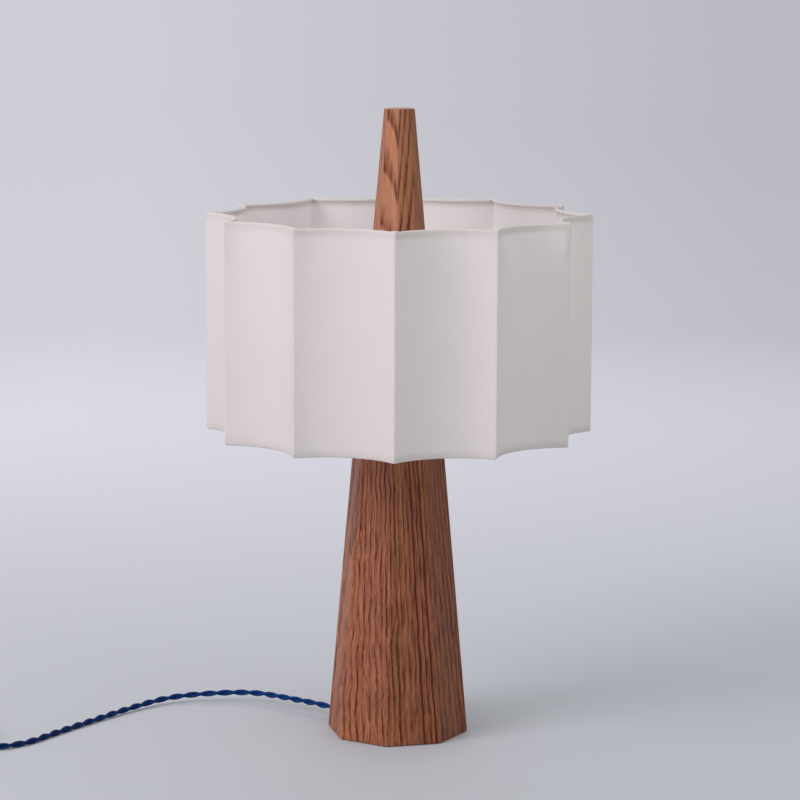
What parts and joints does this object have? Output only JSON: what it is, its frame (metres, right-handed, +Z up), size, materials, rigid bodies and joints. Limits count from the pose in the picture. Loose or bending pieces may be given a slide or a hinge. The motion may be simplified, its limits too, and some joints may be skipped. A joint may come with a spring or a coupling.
{
  "type": "table lamp",
  "caption": "Table lamp with an eight-sided tapered wooden column and finial, a fluted cloth drum shade on a harp, and a twisted cord with a coil and plug.",
  "frame": {"origin": "on the table under the column's vertical axis", "axes": "+Z up the column to the finial; -Y towards the front, where the switch knob points; the cord leaves the back left and runs to -X"},
  "size_m": [0.7379, 0.387, 0.635],
  "materials": {
    "wood": "oiled reddish-brown hardwood with open pores",
    "felt": "dark felt",
    "steel": "zinc plated",
    "brass": "satin brass",
    "sleeve_board": "plain board",
    "dark_plastic": "moulded, near black",
    "cord_cover": "dark blue twisted pair",
    "plug_plastic": "moulded, dark blue",
    "frosted_glass": "frosted white inside",
    "bulb_metal": "rolled thread",
    "solder": "dull solder",
    "frame_paint": "white enamel wire",
    "shade_cloth": "off-white cloth on a stiff backing"
  },
  "bodies": {
    "base": {"column": "wood", "felt_pad": "felt", "lamp_pipe": "steel", "base_washer": "steel", "base_nut": "steel", "cord_bushing": "dark_plastic", "inner_cord": "cord_cover", "check_ring": "brass", "harp_saddle": "brass", "socket_cap": "brass", "cap_set_screw": "brass", "socket_shell": "brass", "socket_sleeve": "sleeve_board", "switch_body": "dark_plastic", "terminal_screws": "brass", "screw_shell": "brass", "centre_contact": "brass", "cord_run": "cord_cover", "cord_coil": "cord_cover", "cord_tail": "cord_cover", "cord_tie": "dark_plastic", "plug_body": "plug_plastic", "plug_blades": "brass"},
    "bulb": {"bulb_glass": "frosted_glass", "bulb_cap": "bulb_metal", "bulb_tip": "solder"},
    "switch": {"knob_shaft": "brass", "switch_knob": "dark_plastic"},
    "harp_frame": {"harp": "brass"},
    "ferrule_right": {"ferrule_right": "brass"},
    "ferrule_left": {"ferrule_left": "brass"},
    "stud": {"harp_stud": "brass"},
    "shade": {"spider_hub": "frame_paint", "spider_arm_1": "frame_paint", "spider_arm_2": "frame_paint", "spider_arm_3": "frame_paint", "top_ring": "frame_paint", "bottom_ring": "frame_paint", "shade_cover": "shade_cloth"},
    "finial": {"finial": "wood", "finial_insert": "brass"}
  },
  "joints": [
    {"name": "bulb_turn", "type": "hinge", "parent": "base", "child": "bulb", "pos_m": [0, 0, 0.3626], "axis": [0, 0, 1], "continuous": true},
    {"name": "switch_turn", "type": "hinge", "parent": "base", "child": "switch", "pos_m": [0, -0.02, 0.3411], "axis": [0, -1, 0], "continuous": true},
    {"name": "harp_lift", "type": "slide", "parent": "base", "child": "harp_frame", "axis": [0, 0, 1], "range_m": [0, 0.03]},
    {"name": "ferrule_right_lift", "type": "slide", "parent": "harp_frame", "child": "ferrule_right", "axis": [0, 0, 1], "range_m": [0, 0.012]},
    {"name": "ferrule_left_lift", "type": "slide", "parent": "harp_frame", "child": "ferrule_left", "axis": [0, 0, 1], "range_m": [0, 0.012]},
    {"name": "stud_turn", "type": "hinge", "parent": "harp_frame", "child": "stud", "pos_m": [0, 0, 0.486], "axis": [0, 0, 1], "continuous": true},
    {"name": "shade_lift", "type": "slide", "parent": "stud", "child": "shade", "axis": [0, 0, 1], "range_m": [0, 0.22]},
    {"name": "finial_turn", "type": "hinge", "parent": "shade", "child": "finial", "pos_m": [0, 0, 0.4956], "axis": [0, 0, 1], "continuous": true}
  ]
}
